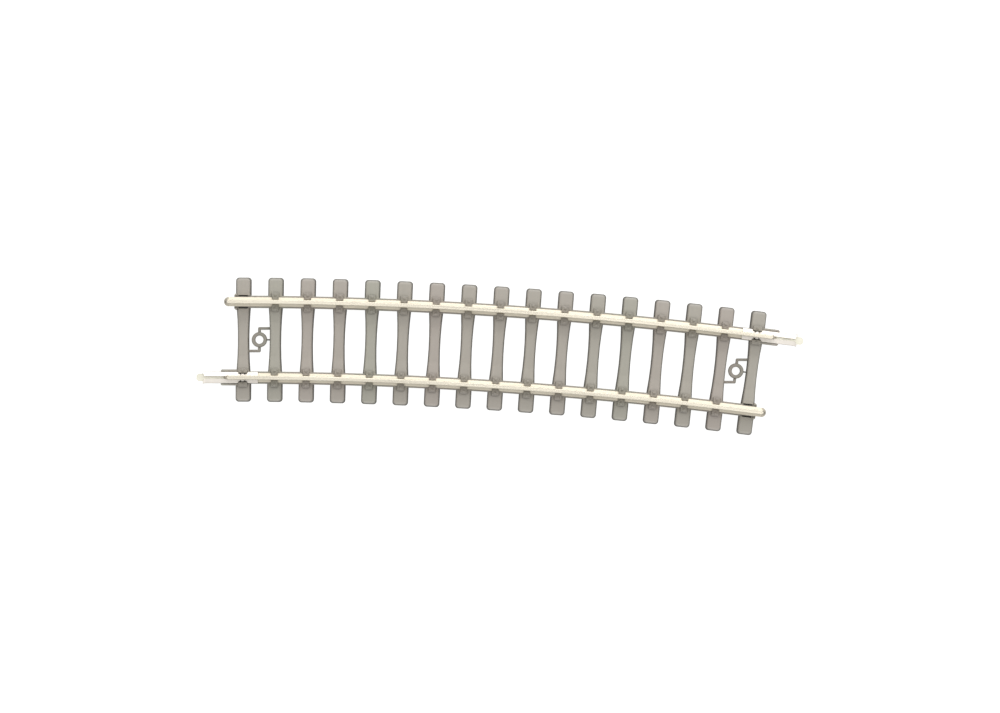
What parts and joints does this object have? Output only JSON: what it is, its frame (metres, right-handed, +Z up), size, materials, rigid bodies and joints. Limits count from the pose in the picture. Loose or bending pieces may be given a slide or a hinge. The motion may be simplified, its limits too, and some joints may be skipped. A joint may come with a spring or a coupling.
{
  "type": "model track section",
  "caption": "Curved 9 mm gauge model railway track section: waisted grey sleepers, silver rails, sliding rail joiners at opposite ends and nail rings in the bed.",
  "frame": {"origin": "on the track centreline at the left-hand joint, level with the surface the sleepers stand on", "axes": "+X along the track at the left-hand joint, towards the other end; +Y away from the centre of the curve; +Z up"},
  "size_m": [0.0763, 0.0198, 0.0038],
  "materials": {
    "sleeper_plastic": "matt warm grey, concrete pattern",
    "rail_metal": "nickel silver, drawn, bright running surface",
    "joiner_metal": "nickel silver sheet, folded"
  },
  "bodies": {
    "track": {"sleeper_base": "sleeper_plastic", "outer_rail": "rail_metal", "inner_rail": "rail_metal"},
    "outer_joiner": {"outer_rail_joiner": "joiner_metal"},
    "inner_joiner": {"inner_rail_joiner": "joiner_metal"}
  },
  "joints": [
    {"name": "outer_joiner_slide", "type": "slide", "parent": "track", "child": "outer_joiner", "axis": [0.9914, -0.1305, 0], "range_m": [0, 0.00426]},
    {"name": "inner_joiner_slide", "type": "slide", "parent": "track", "child": "inner_joiner", "axis": [-1, 0, 0], "range_m": [0, 0.00426]}
  ]
}
